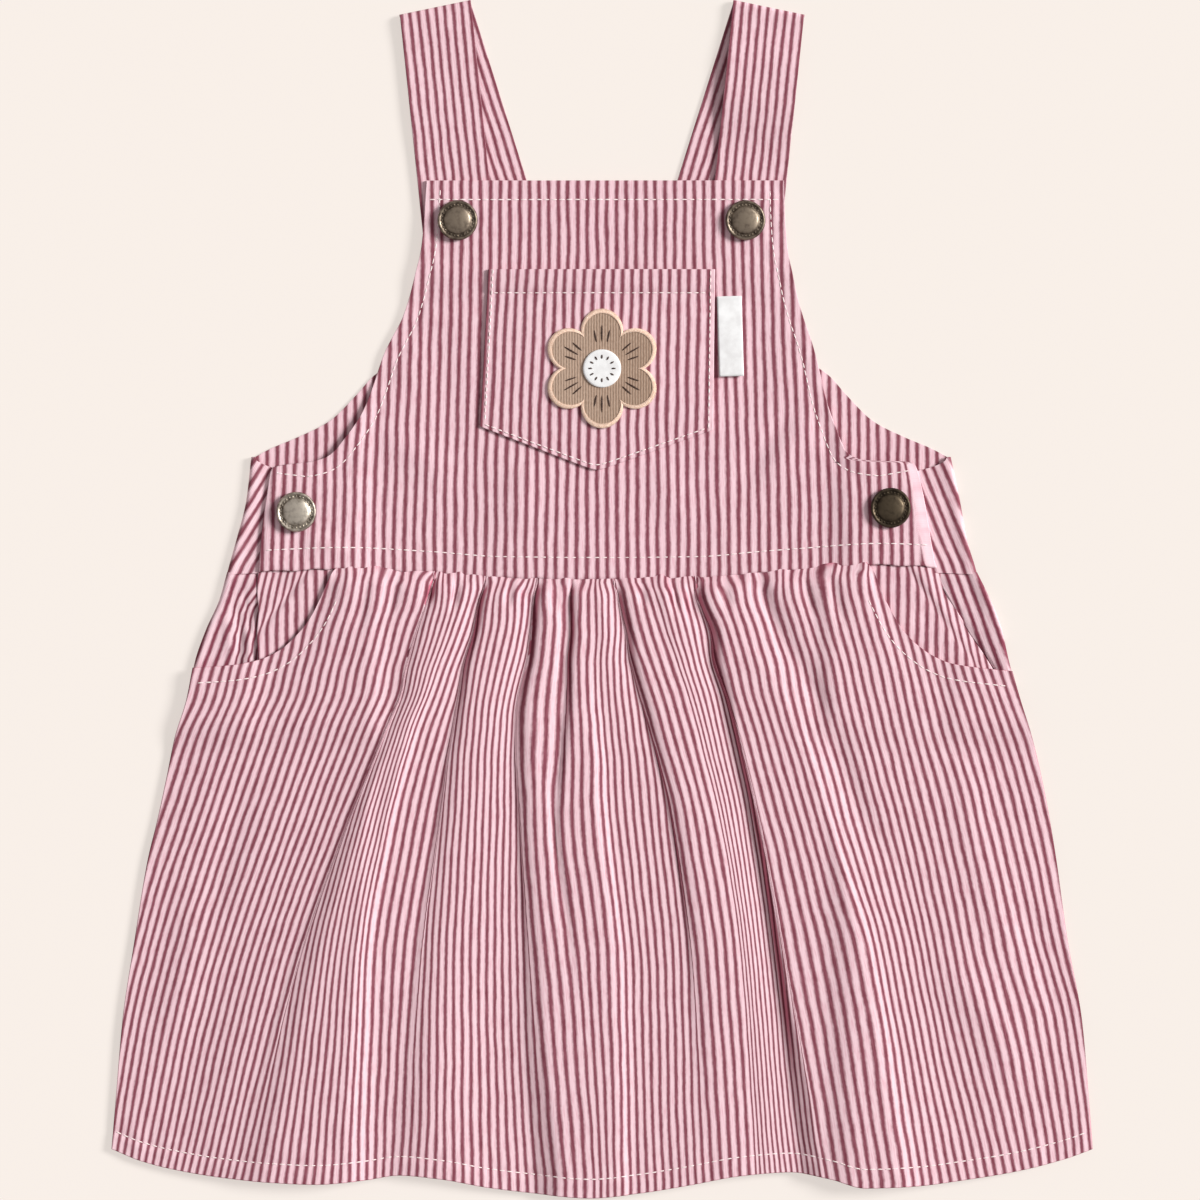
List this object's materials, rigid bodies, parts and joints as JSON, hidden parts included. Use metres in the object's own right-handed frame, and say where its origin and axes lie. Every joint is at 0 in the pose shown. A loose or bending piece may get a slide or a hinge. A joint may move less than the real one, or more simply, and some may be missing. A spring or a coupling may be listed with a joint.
{
  "type": "pinafore dress",
  "caption": "Toddler's striped twill pinafore dress laid flat, with a snap-fastened bib, folded straps, a pointed chest pocket, hip pockets and a gathered skirt.",
  "frame": {"origin": "centre of the dress's footprint, on the surface that it lies on", "axes": "+Y from the hem to the shoulder folds, +X to the right seen from the front, +Z out of the front, away from the surface"},
  "size_m": [0.4116, 0.5026, 0.0121],
  "materials": {
    "striped_twill": "soft matt cotton twill with raspberry and pale pink stripes",
    "thread": "ivory cotton topstitching",
    "felt": "short tan pile with an embroidered edge",
    "white_cotton": "matt white woven cotton",
    "antique_brass": "satin antique brass, dark in the recesses"
  },
  "bodies": {
    "root": {"back_skirt": "striped_twill", "back_bodice": "striped_twill", "front_skirt": "striped_twill", "front_bodice": "striped_twill", "strap_left": "striped_twill", "strap_right": "striped_twill", "hip_facing_left": "striped_twill", "hip_facing_right": "striped_twill", "chest_pocket": "striped_twill", "side_tab": "white_cotton", "flower_applique": "felt", "flower_centre": "white_cotton", "bib_snap_left": "antique_brass", "bib_snap_right": "antique_brass", "side_snap_left": "antique_brass", "side_snap_right": "antique_brass"}
  },
  "joints": []
}
